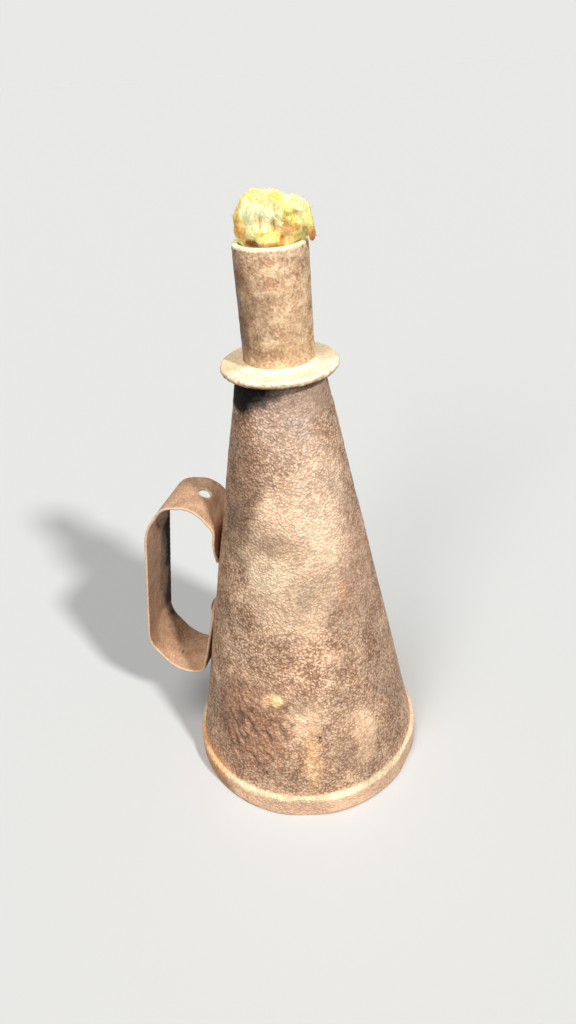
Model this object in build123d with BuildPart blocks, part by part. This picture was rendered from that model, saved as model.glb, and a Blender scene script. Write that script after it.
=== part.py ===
from build123d import *
import math
import os

# Railway track torch: a conical oil can with a screw-in wick burner and a strap handle.
# Millimetres, +Z up. The origin is the centre of the base on the ground; the handle is on -X.

# Base pan: a pressed dish whose skirt wraps the foot of the cone
rim_radius = 50.8
rim_height = 10.3
pan_wall = 2.3
pan_recess = 2.0
foot_ring_width = 11.0
rim_shoulder_radius = 1.7
rim_foot_radius = 0.9
rim_flat_depth = 0.9
rim_flat_angles = (-76, -12)

# Cone of the reservoir, its wall measured level
neck_height = 183.1
cone_wall = 2.0
foot_land_height = 10.8
foot_bend_radius = 9.0

# Burner: a one-inch tube, threaded at its lower end, with a brazed flange
tube_radius = 12.7
tube_wall = 2.3
tube_top = 228.6
lip_radius = 0.7
flange_radius = 21.3
flange_thickness = 2.8
flange_edge_radius = 1.2
braze_fillet = 1.4
thread_pitch = 25.4 / 14
thread_turns = 6

# Neck bush and washer
bush_wall = 1.54
bush_overrun = 1.1
bush_chamfer = 0.6
gasket_thickness = 1.6
gasket_inset = 0.3

# Wick: seven cotton strands, frayed into a tuft above the tube
strand_gap = 0.15
wick_tail = 6.0
wick_shoulder_drop = 2.4
tuft_turn = 18
tuft_root_rise = 2.7
left_lump_x = -2.4
left_lump = {"half_width": 9.0, "half_height": 9.4, "top": 16.6}
middle_lump_x = 3.0
middle_lump = {"half_width": 6.0, "half_height": 7.0, "top": 15.6}
right_lump = {"half_width": 5.9, "half_height": 5.9, "top": 12.5}
lock_radius = 1.1
lock_length = 7.5
lock_drop = 1.4
lock_inset = 0.7
lock_clearance = 0.55

# Handle: one-inch strap, bent to a loop whose two tabs wrap the cone
strap_width = 25.4
strap_thickness = 1.2
tab_corner_radius = 4.0
# Corners of the loop as (standoff from the cone, height); the first and last lie on the tabs
loop_corners = ((10.7, 128.5), (23.9, 127.1), (30.9, 114.7), (28.7, 52.4), (14.1, 37.6))
loop_radii = (5.4, 10.8, 9.5, 25.0, 13.0, 14.0, 5.9)
upper_root_height = 118.2
lower_root_height = 38.2
# Stations of each tab as (height, share of the cone's curvature), from the loop to the tab's end
upper_tab = ((111.5, 0.0), (108.5, 0.3), (105.5, 0.65), (102.8, 1.0), (101.0, 1.0))
lower_tab = ((45.5, 0.0), (50.0, 0.35), (57.0, 0.6), (64.0, 0.85), (69.0, 1.0), (75.0, 1.0))
hang_hole_radius = 2.4
hole_reach = 18.5
hole_offset = 1.9

# Rivets through the tabs and the cone, each closed over a burr inside
upper_rivet_height = 107.0
lower_rivet_height = 69.0
rivet_radius = 2.4
rivet_head_radius = 4.3
rivet_head_height = 2.0
burr_radius = 5.0
burr_thickness = 1.2
tail_radius = 3.4
tail_height = 1.2

# Fits
braze_gap = 0.05
thread_clearance = 0.06
gasket_clearance = 0.3
wick_clearance = 0.35
tab_gap = 0.15
rivet_clearance = 0.05
burr_gap = 0.15
tail_seat_gap = 0.3

# Sizes that follow from the ones above
foot_radius = rim_radius - pan_wall - braze_gap
bush_bore_radius = tube_radius + thread_clearance
neck_bore_radius = bush_bore_radius + bush_wall + braze_gap
neck_radius = neck_bore_radius + cone_wall
flange_base = neck_height + gasket_thickness
thread_engagement = thread_turns * thread_pitch
tube_bottom = neck_height - thread_engagement
bush_bottom = tube_bottom - bush_overrun
tube_bore_radius = tube_radius - tube_wall
cone_slope = (foot_radius - neck_radius) / (neck_height - foot_land_height)
cone_angle = math.atan(cone_slope)
strand_radius = (tube_bore_radius - wick_clearance - strand_gap) / 3
strand_ring_radius = 2 * strand_radius + strand_gap
wick_shoulder = tube_top - wick_shoulder_drop


def cone_radius(z):
    # Outer radius of the cone at a height above its foot
    return foot_radius - (z - foot_land_height) * cone_slope


def crest_plane(z):
    # Local X lies across the handle, local Y points out of the cone, Z runs up its wall
    up_wall = (math.sin(cone_angle), 0, math.cos(cone_angle))
    return Plane(origin=(-cone_radius(z), 0, z), x_dir=(0, 1, 0), z_dir=up_wall)


def rivet_plane(z, out=0):
    # Tangent to the cone at its crest, moved out along its normal; local Y runs up the wall
    outward = (-math.cos(cone_angle), 0, math.sin(cone_angle))
    return Plane(origin=(-cone_radius(z), 0, z), x_dir=(0, -1, 0), z_dir=outward).offset(out)


# Base pan: foot ring on the ground, floor pressed up in the middle, upright skirt
ring_inner = rim_radius - foot_ring_width
step_inner = ring_inner - pan_recess
with BuildPart() as base_pan:
    with BuildSketch(Plane.XZ) as pan_profile:
        with BuildLine():
            Polyline(
                (0, pan_recess),
                (step_inner, pan_recess),
                (ring_inner, 0),
                (rim_radius, 0),
                (rim_radius, rim_height),
                (rim_radius - pan_wall, rim_height),
                (rim_radius - pan_wall, pan_wall),
                (ring_inner, pan_wall),
                (step_inner, pan_recess + pan_wall),
                (0, pan_recess + pan_wall),
                close=True,
            )
        make_face()
        for height, radius in ((0, rim_foot_radius), (rim_height, rim_shoulder_radius)):
            corner = pan_profile.vertices().sort_by_distance((rim_radius, height))[0]
            fillet(corner, radius)
    revolve(axis=Axis.Z)
    # Two places where the rim is knocked flat
    with BuildSketch(Plane.XY):
        for angle in rim_flat_angles:
            with PolarLocations(rim_radius - rim_flat_depth, 1, start_angle=angle):
                Rectangle(2 * rim_flat_depth, rim_radius, align=(Align.MIN, Align.CENTER))
    extrude(amount=rim_height, mode=Mode.SUBTRACT)
base_pan.part.label = "base_pan"

# Conical shell, with a short upright land that sits inside the skirt
with BuildPart() as body_cone:
    with BuildSketch(Plane.XZ) as cone_profile:
        with BuildLine():
            Polyline(
                (foot_radius - cone_wall, pan_wall),
                (foot_radius, pan_wall),
                (foot_radius, foot_land_height),
                (neck_radius, neck_height),
                (neck_bore_radius, neck_height),
                (foot_radius - cone_wall, foot_land_height),
                close=True,
            )
        make_face()
        bend = cone_profile.vertices().sort_by_distance((foot_radius, foot_land_height))[0]
        fillet(bend, foot_bend_radius)
    revolve(axis=Axis.Z)
    for height in (upper_rivet_height, lower_rivet_height):
        with BuildSketch(rivet_plane(height, cone_wall)):
            Circle(rivet_radius + rivet_clearance)
        extrude(amount=-3 * cone_wall, mode=Mode.SUBTRACT)
body_cone.part.label = "body_cone"

# Threaded bush, tapered to wedge in the top of the cone
bush_seat_radius = cone_radius(bush_bottom) - cone_wall - braze_gap
with BuildPart() as neck_bush:
    with BuildSketch(Plane.XZ) as bush_profile:
        with BuildLine():
            Polyline(
                (bush_bore_radius, bush_bottom),
                (bush_seat_radius, bush_bottom),
                (neck_bore_radius - braze_gap, neck_height),
                (bush_bore_radius, neck_height),
                close=True,
            )
        make_face()
        chamfer(bush_profile.vertices().group_by(Axis.Y)[0].sort_by(Axis.X)[-1], bush_chamfer)
    revolve(axis=Axis.Z)
neck_bush.part.label = "neck_bush"

# Washer between the neck and the flange
with BuildPart() as neck_gasket:
    with BuildSketch(Plane.XY.offset(neck_height)):
        Circle(neck_radius - gasket_inset)
        Circle(tube_radius + gasket_clearance, mode=Mode.SUBTRACT)
    extrude(amount=gasket_thickness)
neck_gasket.part.label = "neck_gasket"

# Flange: a round-edged disc with the braze run up round the tube
flange_top = flange_base + flange_thickness
flange_bore_radius = tube_radius + braze_gap
with BuildPart() as burner_flange:
    with BuildSketch(Plane.XZ) as flange_profile:
        with BuildLine():
            Polyline(
                (flange_bore_radius, flange_top + braze_fillet),
                (flange_bore_radius, flange_base),
                (flange_radius, flange_base),
                (flange_radius, flange_top),
                (flange_bore_radius + braze_fillet, flange_top),
            )
            RadiusArc(
                (flange_bore_radius + braze_fillet, flange_top),
                (flange_bore_radius, flange_top + braze_fillet),
                braze_fillet,
            )
        make_face()
        edge_corners = flange_profile.vertices().group_by(Axis.X)[-1]
        fillet(edge_corners, flange_edge_radius)
    revolve(axis=Axis.Z)
burner_flange.part.label = "burner_flange"

# Wick tube: its threaded lower end runs in the bush
with BuildPart() as wick_tube:
    with BuildSketch(Plane.XZ) as tube_profile:
        with Locations(((tube_bore_radius + tube_radius) / 2, tube_bottom)):
            Rectangle(tube_wall, tube_top - tube_bottom, align=(Align.CENTER, Align.MIN))
        fillet(tube_profile.vertices().group_by(Axis.Y)[-1], lip_radius)
    revolve(axis=Axis.Z)
wick_tube.part.label = "wick_tube"

# Wick strands hang through the burner almost to the floor of the pan
strand_bottom = pan_recess + pan_wall + wick_tail
with BuildPart() as wick_strands:
    with BuildSketch(Plane.XY.offset(strand_bottom)):
        Circle(strand_radius)
        with PolarLocations(strand_ring_radius, 6):
            Circle(strand_radius)
    extrude(amount=wick_shoulder - strand_bottom)
wick_strands.part.label = "wick_strands"

# Tuft: a root inside the tube, three lumps above the lip and a lock that hangs over the rim
tuft_right = (math.cos(math.radians(tuft_turn)), math.sin(math.radians(tuft_turn)), 0)
tuft_plane = Plane(origin=(0, 0, tube_top), x_dir=tuft_right, z_dir=(tuft_right[1], -tuft_right[0], 0))
lock_x = tube_radius + lock_clearance + lock_radius
right_lump_x = lock_x + lock_inset - right_lump["half_width"]
lumps = ((left_lump_x, left_lump), (middle_lump_x, middle_lump), (right_lump_x, right_lump))


def tuft_lump(x, lump):
    # Right half of a lump's outline, to be spun about its own upright axis
    with BuildSketch(tuft_plane) as outline:
        with Locations((x, lump["top"] - lump["half_height"])):
            Ellipse(lump["half_width"], lump["half_height"])
            Rectangle(
                2 * lump["half_width"],
                3 * lump["half_height"],
                align=(Align.MAX, Align.CENTER),
                mode=Mode.SUBTRACT,
            )
    return outline.sketch


with BuildPart() as wick_tuft:
    with BuildSketch(Plane.XY.offset(wick_shoulder + strand_gap)):
        Circle(tube_bore_radius - wick_clearance)
    extrude(amount=wick_shoulder_drop + tuft_root_rise)
    for x, lump in lumps:
        revolve(tuft_lump(x, lump), axis=Axis(tuft_plane.from_local_coords((x, 0, 0)), (0, 0, 1)))
    with BuildSketch(Plane(tuft_plane.from_local_coords((lock_x, -lock_drop, 0)))):
        Circle(lock_radius)
    extrude(amount=lock_length)
wick_tuft.part.label = "wick_tuft"

# Handle loop: strap bent in one plane, from the upper tab round to the lower one
handle_plane = Plane(origin=(0, 0, 0), x_dir=(-1, 0, 0), z_dir=(0, 1, 0))


def on_tab(z):
    # Middle of the strap's thickness, square out from the cone's crest at this height
    standoff = tab_gap + strap_thickness / 2
    return (cone_radius(z) + standoff * math.cos(cone_angle), z + standoff * math.sin(cone_angle))


def strap_camber(z, share):
    # Inner bend radius of the strap across a tab, and half the angle that it wraps
    bend = (cone_radius(z) / math.cos(cone_angle) + tab_gap) / share
    return bend, strap_width / 2 / (bend + strap_thickness / 2)


def tab_section(z, share):
    # Strip of the strap across one tab: flat at share 0, hugging the cone at share 1
    with BuildSketch(crest_plane(z)) as section:
        if share == 0:
            with Locations((0, tab_gap)):
                Rectangle(strap_width, strap_thickness, align=(Align.CENTER, Align.MIN))
        else:
            bend, half_wrap = strap_camber(z, share)
            inner, outer = [
                [
                    (radius * math.sin(turn), tab_gap - bend + radius * math.cos(turn))
                    for turn in (-half_wrap, 0, half_wrap)
                ]
                for radius in (bend, bend + strap_thickness)
            ]
            with BuildLine():
                ThreePointArc(*inner)
                Line(inner[-1], outer[-1])
                ThreePointArc(*outer[::-1])
                Line(outer[0], inner[0])
            make_face()
    return section.sketch


def tab_trim(z, inwards):
    # What is left outside the rounded end of a tab; inwards is 1 where the tab rises from it
    half_chord = strap_camber(z, 1)[0] * math.sin(strap_camber(z, 1)[1])
    with BuildSketch(rivet_plane(z)) as trim:
        Rectangle(2 * strap_width, 2 * tab_corner_radius)
        with Locations((0, 2 * inwards * tab_corner_radius)):
            RectangleRounded(2 * half_chord, 4 * tab_corner_radius, tab_corner_radius, mode=Mode.SUBTRACT)
    return trim.sketch


loop_points = [on_tab(upper_tab[0][0]), on_tab(upper_root_height)]
loop_points += [(cone_radius(z) + standoff, z) for standoff, z in loop_corners]
loop_points += [on_tab(lower_root_height), on_tab(lower_tab[0][0])]
with BuildPart() as handle_strap:
    with BuildSketch(handle_plane):
        with BuildLine():
            loop_path = FilletPolyline(*loop_points, radius=loop_radii)
        trace(line_width=strap_thickness)
    extrude(amount=strap_width / 2, both=True)
    for tab in (upper_tab, lower_tab):
        loft([tab_section(z, share) for z, share in tab])
    for tab, inwards in ((upper_tab, 1), (lower_tab, -1)):
        extrude(tab_trim(tab[-1][0], inwards), amount=tab_corner_radius, both=True, mode=Mode.SUBTRACT)
    for height in (upper_rivet_height, lower_rivet_height):
        with BuildSketch(rivet_plane(height)):
            Circle(rivet_radius + rivet_clearance)
        extrude(amount=3 * strap_thickness, mode=Mode.SUBTRACT)
    # Hole to hang the torch by, square through the arch and a little off its middle line
    hole_centre = handle_plane.from_local_coords(loop_path.position_at(hole_reach, PositionMode.LENGTH))
    along_strap = loop_path.tangent_at(hole_reach, PositionMode.LENGTH)
    hole_axis = (along_strap.Y, 0, along_strap.X)
    with BuildSketch(Plane(origin=hole_centre, x_dir=(0, 1, 0), z_dir=hole_axis)):
        with Locations((hole_offset, 0)):
            Circle(hang_hole_radius)
    extrude(amount=strap_thickness, both=True, mode=Mode.SUBTRACT)
handle_strap.part.label = "handle_strap"


def handle_rivet(z):
    # Domed head on the strap, shank through the wall and a low tail closed over the burr
    tangent = rivet_plane(z)
    head_seat = tab_gap + strap_thickness + rivet_clearance
    tail_seat = -(cone_wall + burr_gap + burr_thickness + tail_seat_gap)
    with BuildPart() as rivet:
        with BuildSketch(Plane(origin=tangent.origin, x_dir=tangent.x_dir, z_dir=-tangent.y_dir)):
            with BuildLine():
                Polyline((rivet_radius, tail_seat), (rivet_radius, head_seat), (rivet_head_radius, head_seat))
                head_rise = (rivet_head_radius**2 + rivet_head_height**2) / 2 / rivet_head_height
                RadiusArc((rivet_head_radius, head_seat), (0, head_seat + rivet_head_height), -head_rise)
                Line((0, head_seat + rivet_head_height), (0, tail_seat - tail_height))
                tail_rise = (tail_radius**2 + tail_height**2) / 2 / tail_height
                RadiusArc((0, tail_seat - tail_height), (tail_radius, tail_seat), -tail_rise)
                Line((tail_radius, tail_seat), (rivet_radius, tail_seat))
            make_face()
        revolve(axis=Axis(tangent.origin, tangent.z_dir))
    return rivet.part


def rivet_burr(z):
    # Round washer dished to the inside of the cone
    reach = 2 * burr_radius
    with BuildPart() as burr:
        with BuildSketch(rivet_plane(z)):
            Circle(burr_radius)
            Circle(rivet_radius + rivet_clearance, mode=Mode.SUBTRACT)
        extrude(amount=-reach)
        with BuildSketch(Plane.XZ):
            with BuildLine():
                face_inset = cone_wall + burr_gap
                back_inset = face_inset + burr_thickness
                Polyline(
                    (cone_radius(z - reach) - face_inset, z - reach),
                    (cone_radius(z + reach) - face_inset, z + reach),
                    (cone_radius(z + reach) - back_inset, z + reach),
                    (cone_radius(z - reach) - back_inset, z - reach),
                    close=True,
                )
            make_face()
        revolve(axis=Axis.Z, mode=Mode.INTERSECT)
    return burr.part


upper_rivet = handle_rivet(upper_rivet_height)
upper_rivet.label = "upper_rivet"
lower_rivet = handle_rivet(lower_rivet_height)
lower_rivet.label = "lower_rivet"
upper_burr = rivet_burr(upper_rivet_height)
upper_burr.label = "upper_burr"
lower_burr = rivet_burr(lower_rivet_height)
lower_burr.label = "lower_burr"

os.makedirs("parts", exist_ok=True)
export_step(base_pan.part, "parts/base_pan.step")
export_step(body_cone.part, "parts/body_cone.step")
export_step(neck_bush.part, "parts/neck_bush.step")
export_step(neck_gasket.part, "parts/neck_gasket.step")
export_step(burner_flange.part, "parts/burner_flange.step")
export_step(wick_tube.part, "parts/wick_tube.step")
export_step(wick_strands.part, "parts/wick_strands.step")
export_step(wick_tuft.part, "parts/wick_tuft.step")
export_step(handle_strap.part, "parts/handle_strap.step")
export_step(upper_rivet, "parts/upper_rivet.step")
export_step(lower_rivet, "parts/lower_rivet.step")
export_step(upper_burr, "parts/upper_burr.step")
export_step(lower_burr, "parts/lower_burr.step")

print("hang hole centre", hole_centre, "axis", hole_axis)
print("lift per radian of the burner, mm", thread_pitch / 2 / math.pi)
print("cone half angle", math.degrees(cone_angle), "neck radius", neck_radius)
print("loop length", loop_path.length, "lock", lock_x, "right lump", right_lump_x)
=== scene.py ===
import math
import random

import bmesh
import bpy
from mathutils import Euler, Matrix, Vector, noise
from mathutils.bvhtree import BVHTree


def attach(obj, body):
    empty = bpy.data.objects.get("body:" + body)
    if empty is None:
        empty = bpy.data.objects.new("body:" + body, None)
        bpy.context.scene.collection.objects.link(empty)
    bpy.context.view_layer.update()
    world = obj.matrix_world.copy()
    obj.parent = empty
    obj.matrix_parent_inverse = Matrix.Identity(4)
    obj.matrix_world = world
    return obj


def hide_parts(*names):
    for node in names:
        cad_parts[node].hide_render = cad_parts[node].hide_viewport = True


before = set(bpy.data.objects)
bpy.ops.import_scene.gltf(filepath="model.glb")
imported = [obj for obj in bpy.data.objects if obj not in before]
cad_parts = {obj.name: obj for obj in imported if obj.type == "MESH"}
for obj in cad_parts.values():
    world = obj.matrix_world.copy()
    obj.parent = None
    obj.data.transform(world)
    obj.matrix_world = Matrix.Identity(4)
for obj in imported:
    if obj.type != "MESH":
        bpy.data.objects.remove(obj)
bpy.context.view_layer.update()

# A rusted track torch. Metres, Z up, the handle on -X. Every piece keeps its place in its mesh.
scene = bpy.context.scene

# Camera at the photograph's own viewpoint
cameraView = {"place": (0.07959, -0.24496, 0.2872), "pitch": 32.461, "heading": 18.3025, "roll": -4.6837,
              "lens": 26.92}
cameraData = bpy.data.cameras.new("photoCamera")
cameraData.lens = cameraView["lens"]
cameraData.sensor_width = 36
camera = bpy.data.objects.new("photoCamera", cameraData)
scene.collection.objects.link(camera)
aim = Euler((math.radians(90 - cameraView["pitch"]), 0, math.radians(cameraView["heading"]))).to_matrix()
roll = Matrix.Rotation(math.radians(cameraView["roll"]), 3, "Z")
camera.matrix_world = Matrix.Translation(cameraView["place"]) @ (aim @ roll).to_4x4()
scene.camera = camera
scene.view_settings.view_transform = "Standard"
print("camera placed")


# Node helpers
def addNode(tree, kind, inputs=None, **settings):
    node = tree.nodes.new(kind)
    for name, value in settings.items():
        setattr(node, name, value)
    for name, value in (inputs or {}).items():
        if isinstance(value, bpy.types.NodeSocket):
            tree.links.new(value, node.inputs[name])
        else:
            node.inputs[name].default_value = value
    return node


def mathNode(tree, operation, first, second=0.5, clamp=False):
    return addNode(tree, "ShaderNodeMath", {0: first, 1: second}, operation=operation, use_clamp=clamp).outputs[0]


def mixColour(tree, factor, first, second, blend="MIX"):
    mix = addNode(tree, "ShaderNodeMix", {0: factor, 6: first, 7: second}, data_type="RGBA", blend_type=blend)
    return mix.outputs[2]


def softStep(tree, value, low, high, start=0.0, end=1.0):
    step = addNode(tree, "ShaderNodeMapRange", {"Value": value, "From Min": low, "From Max": high,
                                                "To Min": start, "To Max": end}, interpolation_type="SMOOTHSTEP")
    return step.outputs[0]


def cloudNode(tree, vector, scale, detail=2.0, roughness=0.5, distortion=0.0):
    return addNode(tree, "ShaderNodeTexNoise", {"Vector": vector, "Scale": scale, "Detail": detail,
                                                "Roughness": roughness, "Distortion": distortion}).outputs[0]


def newGroup(name, inputs, outputs):
    group = bpy.data.node_groups.new(name, "ShaderNodeTree")
    for label, kind, value in inputs:
        socket = group.interface.new_socket(label, in_out="INPUT", socket_type="NodeSocket" + kind)
        if value is not None:
            socket.default_value = value
    for label, kind in outputs:
        group.interface.new_socket(label, in_out="OUTPUT", socket_type="NodeSocket" + kind)
    return group, group.nodes.new("NodeGroupInput").outputs, group.nodes.new("NodeGroupOutput").inputs


def useGroup(tree, group, inputs):
    return addNode(tree, "ShaderNodeGroup", inputs, node_tree=group).outputs


def tone(red, green, blue):
    # A colour as a picker shows it, 0 to 255, made linear
    def linear(share):
        return share / 12.92 if share <= 0.04045 else ((share + 0.055) / 1.055) ** 2.4
    return (linear(red / 255), linear(green / 255), linear(blue / 255), 1)


# Rusted skin: round grains with dark creases between them, pale on their crests in the rust's own tone and as painted
# glints
rustSkin, given, out = newGroup("rustSkin", [
    ("Vector", "Vector", None), ("Grain", "Float", 800), ("Blotch", "Float", 60), ("Flecks", "Float", 1),
    ("Pits", "Float", 1), ("Pebble", "Float", 0.34), ("Shade", "Color", None), ("Body", "Color", None), ("CrestAndGlint", "Color", None),
    ("Pit", "Color", None)],
    [("Color", "Color"), ("Level", "Float"), ("Height", "Float")])
tree = rustSkin
drift = addNode(tree, "ShaderNodeTexNoise", {"Vector": given["Vector"], "Detail": 1.0,
                                             "Scale": mathNode(tree, "MULTIPLY", given["Grain"], 0.45)})
drift = addNode(tree, "ShaderNodeVectorMath", {0: drift.outputs["Color"], 1: (0.0011, 0.0011, 0.0011)},
                operation="MULTIPLY")
warped = addNode(tree, "ShaderNodeVectorMath", {0: given["Vector"], 1: drift.outputs[0]}, operation="ADD").outputs[0]
cells = addNode(tree, "ShaderNodeTexVoronoi", {"Vector": warped, "Scale": given["Grain"]}).outputs["Distance"]
dome = softStep(tree, cells, 0.78, 0.12)
fine = cloudNode(tree, given["Vector"], mathNode(tree, "MULTIPLY", given["Grain"], 1.7), 2.0, 0.6)
cluster = cloudNode(tree, given["Vector"], mathNode(tree, "MULTIPLY", given["Grain"], 0.2), 3.0, 0.6)
broad = cloudNode(tree, given["Vector"], given["Blotch"], 4.0, 0.62, 0.6)
pebbles = mathNode(tree, "MULTIPLY", mathNode(tree, "SUBTRACT", dome, 0.5), given["Pebble"])
level = mathNode(tree, "ADD", mathNode(tree, "ADD", pebbles, 0.17), mathNode(tree, "MULTIPLY", fine, 0.72))
leaning = mathNode(tree, "ADD", level, mathNode(tree, "MULTIPLY", mathNode(tree, "SUBTRACT", cluster, 0.5), 0.5))
colour = mixColour(tree, softStep(tree, broad, 0.36, 0.66), given["Shade"], given["Body"])
pitMask = mathNode(tree, "MULTIPLY", softStep(tree, leaning, 0.44, 0.28), given["Pits"])
colour = mixColour(tree, pitMask, colour, given["Pit"])
# Pale crests: the rust's own tone, and painted glints
crestMask = mathNode(tree, "MULTIPLY", softStep(tree, leaning, 0.48, 0.68), given["Flecks"])
colour = mixColour(tree, crestMask, colour, given["CrestAndGlint"])
tree.links.new(colour, out["Color"])
tree.links.new(leaning, out["Level"])
tree.links.new(mathNode(tree, "ADD", level, mathNode(tree, "MULTIPLY", cluster, 0.6)), out["Height"])

# Stain: a ragged ellipsoid of colour
stainPatch, given, out = newGroup("stainPatch", [
    ("Vector", "Vector", None), ("Centre", "Vector", None), ("Size", "Vector", None), ("Ragged", "Float", 0.5),
    ("Raggedness", "Float", 150), ("Soft", "Float", 0.25)], [("Mask", "Float")])
tree = stainPatch
offset = addNode(tree, "ShaderNodeVectorMath", {0: given["Vector"], 1: given["Centre"]}, operation="SUBTRACT")
scaled = addNode(tree, "ShaderNodeVectorMath", {0: offset.outputs[0], 1: given["Size"]}, operation="DIVIDE")
reach = addNode(tree, "ShaderNodeVectorMath", {0: scaled.outputs[0]}, operation="LENGTH").outputs["Value"]
frayed = mathNode(tree, "SUBTRACT", cloudNode(tree, given["Vector"], given["Raggedness"], 5.0, 0.65), 0.5)
reach = mathNode(tree, "ADD", reach, mathNode(tree, "MULTIPLY", frayed, mathNode(tree, "MULTIPLY", given["Ragged"], 3)))
mask = softStep(tree, reach, mathNode(tree, "ADD", 1, given["Soft"]), mathNode(tree, "SUBTRACT", 1, given["Soft"]))
tree.links.new(mask, out["Mask"])

# Level band: everything between two heights, with a ragged edge
levelBand, given, out = newGroup("levelBand", [
    ("Vector", "Vector", None), ("Low", "Float", 0), ("High", "Float", 1), ("Soft", "Float", 0.0005),
    ("Ragged", "Float", 0.0005)], [("Mask", "Float")])
tree = levelBand
height = addNode(tree, "ShaderNodeSeparateXYZ", {0: given["Vector"]}).outputs["Z"]
waver = mathNode(tree, "SUBTRACT", cloudNode(tree, given["Vector"], 420, 3.0, 0.6), 0.5)
height = mathNode(tree, "ADD", height, mathNode(tree, "MULTIPLY", waver, mathNode(tree, "MULTIPLY", given["Ragged"], 3)))
rising = softStep(tree, height, mathNode(tree, "SUBTRACT", given["Low"], given["Soft"]),
                  mathNode(tree, "ADD", given["Low"], given["Soft"]))
falling = softStep(tree, height, mathNode(tree, "ADD", given["High"], given["Soft"]),
                   mathNode(tree, "SUBTRACT", given["High"], given["Soft"]))
tree.links.new(mathNode(tree, "MULTIPLY", rising, falling), out["Mask"])
print("surface effects made")


def newMaterial(name):
    material = bpy.data.materials.new(name)
    material.use_nodes = True
    tree = material.node_tree
    coords = addNode(tree, "ShaderNodeTexCoord").outputs["Object"]
    return material, tree, coords, tree.nodes["Principled BSDF"]


def layStains(tree, coords, colour, stains):
    # Laid over a colour in the order they are listed; only names a mesh attribute that limits a stain
    for stain in stains:
        if "band" in stain:
            mask = useGroup(tree, levelBand, {"Vector": coords, "Low": stain["band"][0], "High": stain["band"][1],
                                              "Soft": stain.get("soft", 0.0005),
                                              "Ragged": stain.get("ragged", 0.0005)})["Mask"]
        else:
            mask = useGroup(tree, stainPatch, {"Vector": coords, "Centre": stain["at"], "Size": stain["size"],
                                               "Ragged": stain.get("ragged", 0.5),
                                               "Raggedness": stain.get("raggedness", 150),
                                               "Soft": stain.get("soft", 0.3)})["Mask"]
        mask = mathNode(tree, "MULTIPLY", mask, stain.get("strength", 0.7))
        if "only" in stain:
            side = addNode(tree, "ShaderNodeAttribute", attribute_name=stain["only"]).outputs["Fac"]
            mask = mathNode(tree, "MULTIPLY", mask, side)
        colour = mixColour(tree, mask, colour, tone(*stain["tone"]), stain.get("blend", "MIX"))
    return colour


def rustMaterial(name, look, stains=(), edge=None):
    # relief is how far a mesh's own hollows darken it and its raised parts lighten it, as painted shade and painted
    # highlight; edge is pale wear and a painted highlight on a strap's two long edges
    material, tree, coords, shader = newMaterial(name)
    skin = useGroup(tree, rustSkin, {"Vector": coords, "Grain": look["grain"], "Blotch": look["blotch"],
                                     "Flecks": look["flecks"], "Pits": look["pits"], "Pebble": look["pebble"],
                                     "Shade": tone(*look["shade"]),
                                     "Body": tone(*look["body"]), "CrestAndGlint": tone(*look["crest"]),
                                     "Pit": tone(*look["pit"])})
    colour = layStains(tree, coords, skin["Color"], stains)
    if edge:
        # Pale wear and a painted highlight along the strap's two long edges
        across = mathNode(tree, "ABSOLUTE", addNode(tree, "ShaderNodeSeparateXYZ", {0: coords}).outputs["Y"])
        edgeWearAndHighlight = softStep(tree, mathNode(tree, "ADD", across, mathNode(tree, "MULTIPLY", skin["Level"], 0.0006)),
                        edge["from"] + 0.0003, edge["to"] + 0.0003)
        colour = mixColour(tree, mathNode(tree, "MULTIPLY", edgeWearAndHighlight, edge["strength"]), colour, tone(*edge["tone"]))
    # Grain shows through every stain
    grain = softStep(tree, skin["Level"], 0.30, 0.64, 1 - look["speckle"], 1 + look["speckle"] * 0.8)
    # Painted shade in the mesh's own hollows and painted highlight on its raised parts
    if look.get("relief"):
        hollow = addNode(tree, "ShaderNodeAttribute", attribute_name="relief").outputs["Fac"]
        paintedReliefShade = softStep(tree, hollow, -1.0, 1.0, 1 - look["relief"], 1 + look["relief"])
        grain = mathNode(tree, "MULTIPLY", grain, paintedReliefShade)
    shade = addNode(tree, "ShaderNodeCombineColor", {0: grain, 1: grain, 2: grain}).outputs[0]
    colour = mixColour(tree, 1.0, colour, shade, "MULTIPLY")
    tree.links.new(colour, shader.inputs["Base Color"])
    gloss = softStep(tree, skin["Level"], 0.32, 0.62, look["rough"][0], look["rough"][1])
    darkness = addNode(tree, "ShaderNodeRGBToBW", {0: colour}).outputs[0]
    gloss = mathNode(tree, "ADD", gloss, softStep(tree, darkness, 0.06, 0.01, 0.0, 0.5), clamp=True)
    tree.links.new(gloss, shader.inputs["Roughness"])
    tree.links.new(softStep(tree, skin["Level"], 0.44, 0.66, 0.0, look["metal"]), shader.inputs["Metallic"])
    bump = addNode(tree, "ShaderNodeBump", {"Height": skin["Height"], "Strength": look["bump"],
                                            "Distance": look["bumpDepth"]})
    tree.links.new(bump.outputs[0], shader.inputs["Normal"])
    shader.inputs["Specular IOR Level"].default_value = look["specular"]
    return material


# Mesh helpers
def profileWire(points, rounds=(), closed=True):
    # points are (radius, height, cuts in the run that leaves this point), rounds (point number, size, segments)
    bm = bmesh.new()
    corners = [bm.verts.new((radius, 0, height)) for radius, height, cuts in points]
    for first, second in zip(corners, corners[1:] + corners[:1] if closed else corners[1:]):
        bm.edges.new((first, second))
    middles = [(first.co + second.co) / 2 for first, second in zip(corners, corners[1:] + corners[:1])]
    for number, size, segments in rounds:
        bmesh.ops.bevel(bm, geom=[corners[number]], offset=size, offset_type="OFFSET", affect="VERTICES",
                        segments=segments, profile=0.5, material=-1)
    for middle, point in zip(middles, points):
        if point[2]:
            run = min(bm.edges, key=lambda edge: ((edge.verts[0].co + edge.verts[1].co) / 2 - middle).length)
            bmesh.ops.subdivide_edges(bm, edges=[run], cuts=point[2])
    return bm


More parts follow.
